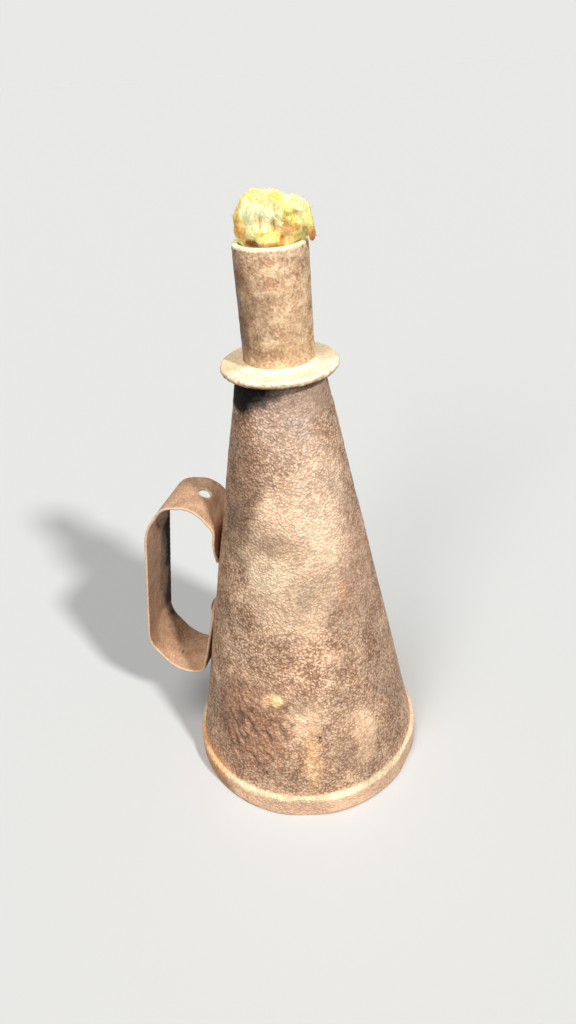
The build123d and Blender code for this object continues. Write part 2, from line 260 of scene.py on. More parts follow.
def ringSpin(bm, steps, sectors=12):
    # One sector is spun from the profile and copied round, which is quicker than one long spin
    bmesh.ops.spin(bm, geom=bm.verts[:] + bm.edges[:], cent=(0, 0, 0), axis=(0, 0, 1), dvec=(0, 0, 0),
                   angle=2 * math.pi / sectors, steps=steps // sectors, use_merge=False)
    bmesh.ops.spin(bm, geom=bm.verts[:] + bm.edges[:] + bm.faces[:], cent=(0, 0, 0), axis=(0, 0, 1),
                   dvec=(0, 0, 0), angle=2 * math.pi * (sectors - 1) / sectors, steps=sectors - 1,
                   use_merge=False, use_duplicate=True)
    bmesh.ops.remove_doubles(bm, verts=bm.verts, dist=1e-6)
    bmesh.ops.recalc_face_normals(bm, faces=bm.faces)


def finishMesh(bm, name, material, sharpAngle=40):
    mesh = bpy.data.meshes.new(name)
    bm.to_mesh(mesh)
    bm.free()
    mesh.polygons.foreach_set("use_smooth", [True] * len(mesh.polygons))
    if sharpAngle:
        mesh.set_sharp_from_angle(angle=math.radians(sharpAngle))
    mesh.materials.append(material)
    piece = bpy.data.objects.new(name, mesh)
    scene.collection.objects.link(piece)
    print(name, "has", len(mesh.polygons), "faces")
    return piece


def voxelForm(bm, voxel, rounds):
    # Fuses a shape into one even grid of faces and softens it
    mesh = bpy.data.meshes.new("rough")
    bm.to_mesh(mesh)
    bm.free()
    rough = bpy.data.objects.new("rough", mesh)
    scene.collection.objects.link(rough)
    grid = rough.modifiers.new("evenGrid", "REMESH")
    grid.mode = "VOXEL"
    grid.voxel_size = voxel
    fused = bmesh.new()
    fused.from_object(rough, bpy.context.evaluated_depsgraph_get())
    bpy.data.objects.remove(rough)
    for repeat in range(rounds):
        bmesh.ops.smooth_vert(fused, verts=fused.verts, factor=0.5, use_axis_x=True, use_axis_y=True, use_axis_z=True)
    return fused


def seatPiece(piece, body, node):
    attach(piece, body)
    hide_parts(node)


def smoothRise(value, low, high):
    share = min(1, max(0, (value - low) / (high - low)))
    return share * share * (3 - 2 * share)


def rustRelief(place, look):
    # Height of a rusted skin: slow swells, pits eaten out of it, and grain
    swell = noise.noise(place * 38) + noise.noise(place * 95) * 0.6
    pit = max(0, 1 - noise.voronoi(place / look["pitSize"])[0][0] * 1.5) ** 1.5
    return swell * look["swell"] - pit * look["pitDepth"] + noise.noise(place * 420) * look["pitDepth"] * 0.7


def roughen(bm, reliefAt, fullRelief):
    # Moves points along their normals and keeps how far in the relief attribute; None leaves a point alone
    bm.normal_update()
    relief = bm.verts.layers.float.new("relief")
    heights = [(point, reliefAt(point.co)) for point in bm.verts]
    moves = [(point, point.normal * height, height) for point, height in heights if height]
    for point, move, height in moves:
        point.co += move
        point[relief] = max(-1, min(1, height / fullRelief))


# Stage: pale floor, a soft key from the front right, a broad light overhead and a weak even world
studio = {"floorTone": (203, 203, 201), "underTone": (84, 80, 76), "floorHalf": 6.0, "backTone": (233, 233, 231),
          "world": 0.13,
          "suns": (("keyLight", -33, 41, 5, 2.9), ("topLight", -108, 73, 28, 1.5), ("frontLight", -100, 26, 24, 1.15))}
for name, turn, rise, spread, power in studio["suns"]:
    light = bpy.data.lights.new(name, "SUN")
    light.angle = math.radians(spread)
    light.energy = power
    lamp = bpy.data.objects.new(name, light)
    lamp.rotation_euler = Vector((math.cos(math.radians(turn)) * math.cos(math.radians(rise)),
                                  math.sin(math.radians(turn)) * math.cos(math.radians(rise)),
                                  math.sin(math.radians(rise)))).to_track_quat("Z", "Y").to_euler()
    scene.collection.objects.link(lamp)


def seenDirectly(tree):
    # 1 for what the camera sees itself, in gloss or through glass
    path = addNode(tree, "ShaderNodeLightPath").outputs
    seen = mathNode(tree, "ADD", path["Is Camera Ray"], path["Is Glossy Ray"], clamp=True)
    return mathNode(tree, "ADD", seen, path["Is Transmission Ray"], clamp=True)


world = bpy.data.worlds.new("studioWorld")
scene.world = world
world.use_nodes = True
tree = world.node_tree
even = tree.nodes["Background"]
even.inputs["Color"].default_value = (1, 1, 1, 1)
even.inputs["Strength"].default_value = studio["world"]
backdrop = addNode(tree, "ShaderNodeBackground", {"Color": tone(*studio["backTone"]), "Strength": 1.0})
choice = addNode(tree, "ShaderNodeMixShader", {0: seenDirectly(tree), 1: even.outputs[0], 2: backdrop.outputs[0]})
tree.links.new(choice.outputs[0], tree.nodes["World Output"].inputs["Surface"])

floorPaper, tree, coords, shader = newMaterial("floorPaper")
paper = mixColour(tree, seenDirectly(tree), tone(*studio["underTone"]), tone(*studio["floorTone"]))
tree.links.new(paper, shader.inputs["Base Color"])
shader.inputs["Roughness"].default_value = 0.95
shader.inputs["Specular IOR Level"].default_value = 0.1
bm = bmesh.new()
bmesh.ops.create_grid(bm, x_segments=2, y_segments=2, size=studio["floorHalf"])
finishMesh(bm, "studioFloor", floorPaper, 0)
print("stage and lights placed")

# Finish of the reservoir: cone and pan share one skin, so that it runs over their seam
bodyLook = {"grain": 900, "blotch": 70, "flecks": 0.42, "pits": 0.42, "pebble": 0.34,
            "shade": (166, 127, 99), "body": (203, 165, 134),
            "crest": (246, 220, 190), "pit": (98, 68, 50), "speckle": 0.13, "relief": 0.34, "rough": (0.8, 0.42),
            "bump": 0.85, "bumpDepth": 0.0007, "specular": 0.25, "metal": 0.12}
bodyStains = (
    {"at": (0.0080, -0.0270, 0.1180), "size": (0.0200, 0.0230, 0.0330), "tone": (241, 206, 172), "strength": 0.62,
     "ragged": 0.35, "raggedness": 70, "soft": 0.18},
    {"at": (0.0190, -0.0190, 0.1430), "size": (0.0110, 0.0140, 0.0220), "tone": (236, 206, 176), "strength": 0.5,
     "ragged": 0.4, "raggedness": 90, "soft": 0.3},
    # Painted highlight on the front of the cone
    {"at": (-0.0020, -0.0300, 0.1130), "size": (0.0086, 0.0080, 0.0070), "tone": (255, 226, 190), "strength": 0.65,
     "ragged": 0.6, "raggedness": 160, "soft": 0.5},
    {"at": (0.0020, -0.0275, 0.1250), "size": (0.0060, 0.0060, 0.0040), "tone": (166, 132, 106), "strength": 0.45,
     "ragged": 0.7, "raggedness": 160, "soft": 0.5},
    # Painted shade on the upper left of the cone, below the flange
    {"at": (-0.0160, -0.0200, 0.1500), "size": (0.0125, 0.0140, 0.0280), "tone": (126, 94, 76), "strength": 0.65,
     "ragged": 0.5, "raggedness": 90, "soft": 0.3},
    {"at": (0.0110, -0.0150, 0.1715), "size": (0.0060, 0.0060, 0.0055), "tone": (178, 158, 146), "strength": 0.45,
     "ragged": 0.5, "raggedness": 150, "soft": 0.4},
    {"at": (0.0290, -0.0110, 0.1080), "size": (0.0070, 0.0110, 0.0330), "tone": (178, 144, 122), "strength": 0.55,
     "ragged": 0.5, "raggedness": 120, "soft": 0.35},
    {"at": (0.0246, -0.0200, 0.1010), "size": (0.0018, 0.0030, 0.0080), "tone": (212, 150, 100), "strength": 0.4,
     "ragged": 0.9, "raggedness": 300, "soft": 0.6},
    # Painted shadow of the burner flange: a near-black band round the neck
    {"band": (0.1787, 0.1900), "tone": (14, 10, 8), "strength": 0.95, "soft": 0.0012, "ragged": 0.0014},
    # Lifts that painted shadow back to the wall's tone at the front right
    {"at": (0.0150, -0.0110, 0.1790), "size": (0.0130, 0.0130, 0.0080), "tone": (198, 166, 142), "strength": 0.95,
     "ragged": 0.3, "raggedness": 200, "soft": 0.2},
    # Deepest painted shadow under the flange, on the left of the neck
    {"at": (-0.0165, -0.0110, 0.1812), "size": (0.0215, 0.0190, 0.0082), "tone": (8, 5, 4), "strength": 0.99,
     "ragged": 0.24, "raggedness": 160, "soft": 0.16},
    {"at": (0.0060, -0.0180, 0.1700), "size": (0.0110, 0.0100, 0.0130), "tone": (214, 186, 166), "strength": 0.45,
     "ragged": 0.5, "raggedness": 120, "soft": 0.4},
    {"at": (-0.0120, -0.0420, 0.0430), "size": (0.0210, 0.0150, 0.0230), "tone": (140, 100, 76), "strength": 0.7,
     "ragged": 0.4, "raggedness": 80, "soft": 0.35},
    {"at": (-0.0014, -0.0398, 0.0570), "size": (0.0050, 0.0050, 0.0040), "tone": (222, 182, 132), "strength": 0.65,
     "ragged": 0.4, "raggedness": 200, "soft": 0.35},
    {"at": (0.0008, -0.0400, 0.0578), "size": (0.0020, 0.0030, 0.0026), "tone": (240, 210, 158), "strength": 0.6,
     "ragged": 0.4, "raggedness": 260, "soft": 0.3},
    {"at": (0.0148, -0.0420, 0.0300), "size": (0.0030, 0.0060, 0.0220), "tone": (244, 196, 142), "strength": 0.55,
     "ragged": 1.1, "raggedness": 260, "soft": 0.6},
    {"at": (0.0130, -0.0400, 0.0500), "size": (0.0085, 0.0070, 0.0075), "tone": (244, 208, 172), "strength": 0.5,
     "ragged": 0.7, "raggedness": 200, "soft": 0.5},
    {"at": (0.0270, -0.0365, 0.0300), "size": (0.0060, 0.0060, 0.0080), "tone": (156, 128, 104), "strength": 0.36,
     "ragged": 0.6, "raggedness": 150, "soft": 0.45},
    {"at": (0.0345, -0.0290, 0.0340), "size": (0.0050, 0.0080, 0.0150), "tone": (238, 200, 164), "strength": 0.55,
     "ragged": 0.6, "raggedness": 150, "soft": 0.4},
    {"at": (-0.0049, -0.0466, 0.0211), "size": (0.0006, 0.0015, 0.0006), "tone": (30, 20, 14), "strength": 0.95,
     "ragged": 0.2, "soft": 0.3},
    {"at": (0.0174, -0.0397, 0.0399), "size": (0.0005, 0.0015, 0.0005), "tone": (60, 40, 28), "strength": 0.9,
     "ragged": 0.2, "soft": 0.3},
    # Painted highlight along the rounded shoulder of the rim
    {"band": (0.0082, 0.0113), "tone": (242, 216, 178), "strength": 0.76, "soft": 0.0008, "ragged": 0.0007},
    # The rim's upright face painted paler all round, standing in for light from the front
    {"band": (-0.0010, 0.0084), "tone": (241, 196, 162), "strength": 0.9, "soft": 0.0008, "ragged": 0.0010},
    {"at": (-0.0430, -0.0330, 0.0080), "size": (0.0240, 0.0200, 0.0080), "tone": (226, 156, 96), "strength": 0.6,
     "ragged": 0.6, "raggedness": 160, "soft": 0.4},
    {"at": (-0.0430, -0.0330, 0.0020), "size": (0.0260, 0.0200, 0.0040), "tone": (150, 100, 66), "strength": 0.5,
     "ragged": 0.6, "raggedness": 160, "soft": 0.4},
    {"band": (-0.0010, 0.0008), "tone": (140, 100, 76), "strength": 0.4, "soft": 0.0006, "ragged": 0.0006},
)
coneIron = rustMaterial("coneIron", bodyLook, bodyStains)
panIron = rustMaterial("panIron", bodyLook, bodyStains)

# Body cone: pitted wall, with a hammered patch low on its left front
coneShape = {"steps": 444, "lowRows": 82, "highRows": 98, "lowHeight": 0.068, "footRadius": 0.04845, "wall": 0.002, "bottom": 0.0023, "land": 0.0106,
             "neckRadius": 0.01635, "neckHeight": 0.1831, "swell": 0.00026, "pitSize": 0.0026, "pitDepth": 0.00020,
             "rippleTurn": -103, "rippleHeight": 0.0405, "rippleHalf": (0.020, 0.024), "rippleDepth": 0.00066,
             "lump": (0.0044, 0.0026), "flake": (-92, 0.0570), "flakeHalf": (0.0042, 0.0030), "flakeLift": 0.0003}
coneSlope = (coneShape["footRadius"] - coneShape["neckRadius"]) / (coneShape["neckHeight"] - coneShape["land"])


def rippleRelief(place, look):
    # Round slanting hammer lumps inside one patch of the wall
    turn = math.atan2(place.y, place.x) - math.radians(look["rippleTurn"])
    side, rise = turn * place.xy.length, place.z - look["rippleHeight"]
    reach = math.hypot(side / look["rippleHalf"][0], rise / look["rippleHalf"][1]) + noise.noise(place * 70) * 0.35
    if reach > 1.1:
        return 0
    bent = noise.noise(place * 160) * 0.4
    along, across = (side - rise) * 0.7071 / look["lump"][0], (side + rise) * 0.7071 / look["lump"][1]
    lump = 1 - 2.2 * noise.voronoi(Vector((along + bent, across - bent, 3.7)))[0][0] ** 1.8
    return look["rippleDepth"] * lump * (1 - smoothRise(reach, 0.6, 1.1))


def flakeRelief(place, look):
    # One flat raised scab above the lumps
    side = (math.atan2(place.y, place.x) - math.radians(look["flake"][0])) * place.xy.length
    reach = math.hypot(side / look["flakeHalf"][0], (place.z - look["flake"][1]) / look["flakeHalf"][1])
    return look["flakeLift"] * (1 - smoothRise(reach, 0.75, 1.05))


def coneRelief(place):
    wallRadius = coneShape["footRadius"] - max(0, place.z - coneShape["land"]) * coneSlope
    if place.z < 0.0095 or place.z > 0.18285 or place.xy.length < wallRadius - 0.0004:
        return None
    fade = smoothRise(place.z, 0.0095, 0.0130) * (1 - smoothRise(place.z, 0.1805, 0.183))
    return (rustRelief(place, coneShape) + rippleRelief(place, coneShape) + flakeRelief(place, coneShape)) * fade


inner = coneShape["wall"]
bm = profileWire([
    (coneShape["footRadius"], coneShape["bottom"], 5), (coneShape["footRadius"], coneShape["land"], coneShape["lowRows"]),
    (coneShape["footRadius"] - (coneShape["lowHeight"] - coneShape["land"]) * coneSlope, coneShape["lowHeight"],
     coneShape["highRows"]),
    (coneShape["neckRadius"] - 0.0001, coneShape["neckHeight"] - 0.0003, 0),
    (coneShape["neckRadius"] - 0.0004, coneShape["neckHeight"], 0),
    (coneShape["neckRadius"] - inner, coneShape["neckHeight"], 3),
    (coneShape["footRadius"] - inner, coneShape["land"], 0), (coneShape["footRadius"] - inner, coneShape["bottom"], 0)])
ringSpin(bm, coneShape["steps"])
roughen(bm, coneRelief, 0.00036)
seatPiece(finishMesh(bm, "coneShell", coneIron), "reservoir", "body_cone")

# Base pan: rim with a worn shoulder, two knocked flats and a bead of braze against the cone
panShape = {"steps": 456, "rimRadius": 0.05045, "rimHeight": 0.0103, "wall": 0.0023, "recess": 0.002,
            "ringInner": 0.0398, "shoulder": 0.0021, "foot": 0.0009, "flats": ((-76, 0.0007), (-12, 0.0007)),
            "swell": 0.00016, "pitSize": 0.0024, "pitDepth": 0.00012}


def panRelief(place):
    if place.xy.length < 0.0479 or place.z < 0.0002:
        return None
    return rustRelief(place, panShape) * smoothRise(place.z, 0.0002, 0.002)


top, inset = panShape["rimHeight"], panShape["ringInner"] - panShape["recess"]
bm = profileWire([
    (0, panShape["recess"], 0), (inset, panShape["recess"], 0), (panShape["ringInner"], 0, 0),
    (panShape["rimRadius"], 0, 8), (panShape["rimRadius"], top, 0), (0.04896, top, 0), (0.04878, top + 0.0001, 0),
    (0.04858, top + 0.0004, 0), (0.04844, top + 0.0009, 0), (0.0483, top + 0.0015, 0), (0.04812, top + 0.0024, 0),
    (0.0472, top + 0.0025, 0), (0.0472, panShape["wall"], 0), (panShape["ringInner"], panShape["wall"], 0),
    (inset, panShape["recess"] + panShape["wall"], 0), (0, panShape["recess"] + panShape["wall"], 0)],
    rounds=((4, panShape["shoulder"] * 0.85, 7), (3, panShape["foot"], 3)), closed=False)
ringSpin(bm, panShape["steps"])
for point in bm.verts:
    for turn, depth in panShape["flats"]:
        facing = Vector((math.cos(math.radians(turn)), math.sin(math.radians(turn)), 0))
        beyond = point.co.dot(facing) - (panShape["rimRadius"] - depth)
        if beyond > 0:
            point.co -= facing * beyond * 0.9
roughen(bm, panRelief, 0.0003)
seatPiece(finishMesh(bm, "rimPan", panIron), "reservoir", "base_pan")

# Burner flange: pale on top, its edge rough and brown
flangeShape = {"steps": 300, "base": 0.1847, "top": 0.1875, "radius": 0.0213, "bore": 0.01275, "edge": 0.00136,
               "fillet": 0.0014, "swell": 0.00012, "pitSize": 0.0022, "pitDepth": 0.00008, "chips": 0.00022}
flangeLook = dict(bodyLook, flecks=0.6, pits=0.2, shade=(240, 220, 184), body=(250, 238, 206), crest=(255, 250, 230),
                  pit=(200, 160, 116), speckle=0.05, relief=0.12, bump=0.35, rough=(0.6, 0.45), blotch=120, metal=0.0)
flangeStains = (
    {"band": (0.1800, 0.1866), "tone": (222, 188, 150), "strength": 0.75, "soft": 0.0004, "ragged": 0.0009},
    {"band": (0.1800, 0.1855), "tone": (124, 90, 64), "strength": 0.75, "soft": 0.0005, "ragged": 0.0009},
    {"at": (-0.0140, -0.0010, 0.1880), "size": (0.0080, 0.0120, 0.0020), "tone": (226, 188, 142), "strength": 0.6,
     "raggedness": 160},
    {"at": (0.0125, 0.0125, 0.1880), "size": (0.0100, 0.0100, 0.0020), "tone": (236, 206, 160), "strength": 0.6,
     "raggedness": 160},
)
flangeIron = rustMaterial("flangeIron", flangeLook, flangeStains)


def flangeRelief(place):
    if place.z < flangeShape["base"] + 0.00005:
        return None
    chips = noise.noise(place * 900) * flangeShape["chips"] * smoothRise(place.xy.length, 0.0199, 0.0210)
    return rustRelief(place, flangeShape) * smoothRise(place.xy.length, 0.0135, 0.0150) + chips


bore, crown = flangeShape["bore"], flangeShape["top"]
bm = profileWire([
    (bore, flangeShape["base"], 4), (flangeShape["radius"], flangeShape["base"], 0), (flangeShape["radius"], crown, 12),
    (bore + flangeShape["fillet"], crown, 0), (bore + 0.00075, crown + 0.00012, 0), (bore + 0.0003, crown + 0.00045, 0),
    (bore + 0.00008, crown + 0.0009, 0), (bore, crown + flangeShape["fillet"], 0)],
    rounds=((1, flangeShape["edge"], 8), (2, flangeShape["edge"], 8)))
ringSpin(bm, flangeShape["steps"])
roughen(bm, flangeRelief, 0.0002)
seatPiece(finishMesh(bm, "burnerFlange", flangeIron, 75), "burner", "burner_flange")

# Wick tube: mottled wall, a painted highlight on its lip, and the thread that runs in the neck
tubeShape = {"steps": 216, "rows": 76, "radius": 0.0127, "bore": 0.0104, "bottom": 0.17221, "top": 0.2286,
             "lip": 0.0007, "threadRoot": 0.0117, "threadTop": 0.1836, "pitch": 0.0254 / 14, "turns": 5.7,
             "stepsPerTurn": 70, "swell": 0.00012, "pitSize": 0.0020, "pitDepth": 0.00013}
tubeLook = dict(bodyLook, grain=760, blotch=240, flecks=0.55, pits=0.55, pebble=0.10, shade=(196, 152, 114),
                body=(240, 201, 160), crest=(255, 234, 200), pit=(112, 76, 50), speckle=0.12, relief=0.25, bump=0.5)
tubeStains = (
    {"at": (0.0000, -0.0127, 0.2100), "size": (0.0022, 0.0030, 0.0110), "tone": (158, 130, 106), "strength": 0.4,
     "ragged": 0.9, "raggedness": 260, "soft": 0.6},
    # Painted shade down the left side of the tube
    {"at": (-0.0150, -0.0060, 0.2060), "size": (0.0104, 0.0100, 0.0320), "tone": (104, 70, 42), "strength": 0.88,
     "ragged": 0.5, "raggedness": 180, "soft": 0.5},
    {"at": (-0.0050, -0.0120, 0.2130), "size": (0.0030, 0.0040, 0.0080), "tone": (150, 116, 84), "strength": 0.4,
     "ragged": 1.0, "raggedness": 320, "soft": 0.5},
    {"at": (-0.0035, -0.0125, 0.1960), "size": (0.0026, 0.0040, 0.0060), "tone": (142, 110, 80), "strength": 0.45,
     "ragged": 1.0, "raggedness": 320, "soft": 0.5},
    {"at": (0.0090, -0.0090, 0.2000), "size": (0.0050, 0.0060, 0.0110), "tone": (228, 190, 148), "strength": 0.4,
     "ragged": 0.7, "raggedness": 180, "soft": 0.5},
    # Painted highlight along the tube's lip
    {"band": (0.2276, 0.2300), "tone": (255, 240, 200), "strength": 0.9, "soft": 0.0003, "ragged": 0.0004},
    {"band": (0.1700, 0.1842), "tone": (120, 92, 70), "strength": 0.6, "soft": 0.0004, "ragged": 0.0003},
)
tubeIron = rustMaterial("tubeIron", tubeLook, tubeStains)


def tubeRelief(place):
    if place.z < 0.1852 or place.xy.length < 0.0110:
        return None
    return rustRelief(place, tubeShape) * smoothRise(place.z, 0.1852, 0.1880)


bm = profileWire([
    (tubeShape["bore"], tubeShape["bottom"], 0), (tubeShape["threadRoot"], tubeShape["bottom"], 4),
    (tubeShape["threadRoot"], tubeShape["threadTop"], 0),
    (tubeShape["radius"], tubeShape["threadTop"] + 0.0009, tubeShape["rows"]),
    (tubeShape["radius"], tubeShape["top"], 0), (tubeShape["bore"], tubeShape["top"], 12)],
    rounds=((4, tubeShape["lip"], 4), (5, tubeShape["lip"], 4)))
ringSpin(bm, tubeShape["steps"])
roughen(bm, tubeRelief, 0.0002)
thread = bmesh.new()
section = [thread.verts.new((radius, 0, tubeShape["bottom"] + 0.0011 + rise)) for radius, rise in (
    (0.0116, -0.00082), (0.01266, -0.0002), (0.01266, 0.0002), (0.0116, 0.00082))]
ring = [thread.edges.new((section[i], section[(i + 1) % 4])) for i in range(4)]
bmesh.ops.spin(thread, geom=section + ring, cent=(0, 0, 0), axis=(0, 0, 1),
               dvec=(0, 0, tubeShape["pitch"] / tubeShape["stepsPerTurn"]), angle=2 * math.pi * tubeShape["turns"],
               steps=int(tubeShape["stepsPerTurn"] * tubeShape["turns"]), use_merge=False)
bmesh.ops.holes_fill(thread, edges=thread.edges, sides=4)
bmesh.ops.recalc_face_normals(thread, faces=thread.faces)
threadMesh = bpy.data.meshes.new("threadRidge")
thread.to_mesh(threadMesh)
thread.free()
bm.from_mesh(threadMesh)
seatPiece(finishMesh(bm, "wickTube", tubeIron), "burner", "wick_tube")

# Washer, bush and rivets keep their CAD shapes
leatherLook = dict(bodyLook, grain=900, blotch=200, flecks=0.3, shade=(26, 19, 15), body=(40, 30, 24), crest=(66, 52, 42),
                   pit=(14, 10, 8), relief=0, bump=0.5, bumpDepth=0.0003, rough=(0.7, 0.45))
bushLook = dict(bodyLook, shade=(90, 66, 50), body=(124, 96, 74), crest=(170, 138, 108), pit=(60, 42, 32), relief=0)
rivetLook = dict(bodyLook, shade=(150, 116, 92), body=(184, 148, 120), crest=(230, 200, 168), relief=0, grain=950)
for nodes, material in ((("neck_gasket",), rustMaterial("gasketLeather", leatherLook)),
                        (("neck_bush",), rustMaterial("bushIron", bushLook)),
                        (("upper_rivet", "lower_rivet", "upper_burr", "lower_burr"),
                         rustMaterial("rivetIron", rivetLook))):
    for node in nodes:
        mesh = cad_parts[node].data
        mesh.materials.clear()
        mesh.materials.append(material)
print("CAD pieces given their finishes")

# Handle strap: the CAD strap on an even grid, its edges worn round, and pale from wear and a painted highlight
strapShape = {"voxel": 0.00042, "softening": 3, "swell": 0.00005, "pitSize": 0.0021, "pitDepth": 0.00007, "inset": 0.00002,
              "loopCentre": (-0.0420, 0.0, 0.0830)}
strapLook = dict(bodyLook, grain=900, flecks=0.35, pits=0.3, pebble=0.15, shade=(180, 140, 108), body=(204, 162, 128),
                 crest=(232, 198, 162), pit=(140, 102, 76), speckle=0.1, relief=0.15, bump=0.5, blotch=90)
strapEdgeWearAndHighlight = {"from": 0.0119, "to": 0.0126, "tone": (240, 212, 180), "strength": 0.7}
strapStains = (
    {"at": (-0.0374, 0.0019, 0.1269), "size": (0.0033, 0.0033, 0.0040), "tone": (240, 216, 184), "strength": 0.6,
     "ragged": 0.4, "raggedness": 400, "soft": 0.2},
    # Painted shadow of the cone on the far half of the outer leg's inside face
    {"at": (-0.0660, 0.0120, 0.0880), "size": (0.0080, 0.0120, 0.0380), "tone": (28, 20, 15), "strength": 0.96,
     "ragged": 0.25, "raggedness": 110, "soft": 0.16, "only": "inner"},
    # Painted shade on the near half of the same face
    {"at": (-0.0660, -0.0080, 0.0850), "size": (0.0080, 0.0150, 0.0340), "tone": (140, 106, 82), "strength": 0.65,
     "ragged": 0.4, "raggedness": 110, "only": "inner"},
    {"at": (-0.0582, -0.0034, 0.0398), "size": (0.0004, 0.0016, 0.0012), "tone": (90, 64, 46), "strength": 0.8,
     "ragged": 0.2, "raggedness": 300},
)
strapSteel = rustMaterial("strapSteel", strapLook, strapStains, strapEdgeWearAndHighlight)
bm = bmesh.new()
bm.from_mesh(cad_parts["handle_strap"].data)
bmesh.ops.remove_doubles(bm, verts=bm.verts, dist=1e-6)
bm = voxelForm(bm, strapShape["voxel"], strapShape["softening"])
bm.normal_update()
# Marks the faces turned into the loop, where the painted shade and shadow are laid
inner = bm.verts.layers.float.new("inner")
for point in bm.verts:
    point[inner] = smoothRise(point.normal.dot(Vector(strapShape["loopCentre"]) - point.co) / 0.03, 0.0, 0.5)
roughen(bm, lambda place: rustRelief(place, strapShape) - strapShape["inset"], 0.00014)
seatPiece(finishMesh(bm, "handleStrap", strapSteel, 0), "reservoir", "handle_strap")

# Cotton of the wick
# The last value is a painted glow, how much light the cotton gives off in its own colour
cottonLook = {"cream": (255, 252, 196), "lemon": (255, 244, 136), "shadow": (214, 162, 74), "paintedGlow": 0.09}


def cottonMaterial(name, stains=()):
    material, tree, coords, shader = newMaterial(name)
    drawn = addNode(tree, "ShaderNodeMapping", {"Vector": coords, "Scale": (1.0, 1.0, 0.3)}).outputs[0]
    fibre = cloudNode(tree, drawn, 1500, 2.0)
    clump = cloudNode(tree, drawn, 240, 3.0)
    colour = mixColour(tree, softStep(tree, clump, 0.38, 0.66), tone(*cottonLook["cream"]), tone(*cottonLook["lemon"]))
    colour = layStains(tree, coords, colour, stains)
    hollow = addNode(tree, "ShaderNodeAttribute", attribute_name="relief").outputs["Fac"]
    paintedReliefShade = softStep(tree, hollow, -0.25, -1.1, 0.0, 0.85)
    colour = mixColour(tree, paintedReliefShade, colour, tone(*cottonLook["shadow"]), "MULTIPLY")
    shade = softStep(tree, fibre, 0.3, 0.6, 0.88, 1.0)
    grey = addNode(tree, "ShaderNodeCombineColor", {0: shade, 1: shade, 2: shade}).outputs[0]
    colour = mixColour(tree, 1.0, colour, grey, "MULTIPLY")
    tree.links.new(colour, shader.inputs["Base Color"])
    bump = addNode(tree, "ShaderNodeBump", {"Height": fibre, "Strength": 0.5, "Distance": 0.0003})
    tree.links.new(bump.outputs[0], shader.inputs["Normal"])
    tree.links.new(softStep(tree, clump, 0.3, 0.7, 0.95, 0.8), shader.inputs["Roughness"])
    # Painted glow: the cotton gives off a little light in its own colour, standing in for light that scatters about
    # inside the fibres
    tree.links.new(colour, shader.inputs["Emission Color"])
    shader.inputs["Emission Strength"].default_value = cottonLook["paintedGlow"]
    shader.inputs["Specular IOR Level"].default_value = 0.1
    shader.inputs["Subsurface Weight"].default_value = 0.6
    shader.inputs["Subsurface Radius"].default_value = (0.003, 0.003, 0.003)
    shader.inputs["Subsurface Scale"].default_value = 1.0
    return material


# Tuft: ribs of yarn doubled over in three lumps, fused, creased and covered in fibres
tuftShape = {"turn": 18, "lip": 0.2286, "seed": 7, "voxel": 0.00046, "softening": 3,
             "lumps": ({"at": (-0.0022, 0.0, 0.2339), "half": (0.0092, 0.0088, 0.0110), "ribs": 12, "rib": 0.0021, "lean": 0.15},
                       {"at": (0.0020, -0.0003, 0.2352), "half": (0.0072, 0.0072, 0.0088), "ribs": 9, "rib": 0.0018, "lean": -0.5},
                       {"at": (0.0088, 0.0, 0.2344), "half": (0.0058, 0.0064, 0.0074), "ribs": 8, "rib": 0.0016, "lean": 1.0}),
             "roots": {"count": 19, "reach": 0.0084, "thick": 0.0015, "low": 0.2262, "high": 0.2325},
             "lock": ((0.0112, -0.0042, 0.2350, 0.0017), (0.0128, -0.0056, 0.2334, 0.0016), (0.0134, -0.0060, 0.2318, 0.0015),
                      (0.0135, -0.0060, 0.2305, 0.0015), (0.0134, -0.0060, 0.2296, 0.0013)),
             "bulge": ((-0.0036, -0.0084, 0.2303, 0.0015), (-0.0016, -0.0088, 0.2300, 0.0019), (0.0006, -0.0090, 0.2298, 0.0016)),
             "dents": ((0.0024, 0.2388, 0.0005, 0.0018, 0.0009), (0.0062, 0.2367, 0.0009, 0.0006, 0.0007),
                       (0.0086, 0.2375, 0.0007, 0.0008, 0.0006), (0.0050, 0.2352, 0.0006, 0.0008, 0.0005),
                       (0.0012, 0.2346, 0.0005, 0.0018, 0.0009), (0.0060, 0.2332, 0.0018, 0.0007, 0.0007),
                       (-0.0066, 0.2388, 0.0005, 0.0009, 0.0005), (0.0100, 0.2388, 0.0014, 0.0005, 0.0006),
                       (0.0040, 0.2305, 0.0008, 0.0012, 0.0009), (-0.0072, 0.2294, 0.0014, 0.0010, 0.0011),
                       (-0.0054, 0.2291, 0.0009, 0.0009, 0.0009), (-0.0030, 0.2350, 0.0004, 0.0030, 0.0005)),
             "crumple": 0.0006, "strands": 850, "wisps": 650, "fibre": 0.0001}
side = Vector((math.cos(math.radians(tuftShape["turn"])), math.sin(math.radians(tuftShape["turn"])), 0))
away = Vector((-side.y, side.x, 0))


def tuftPlace(across, depth, height):
    return side * across + away * depth + Vector((0, 0, height))


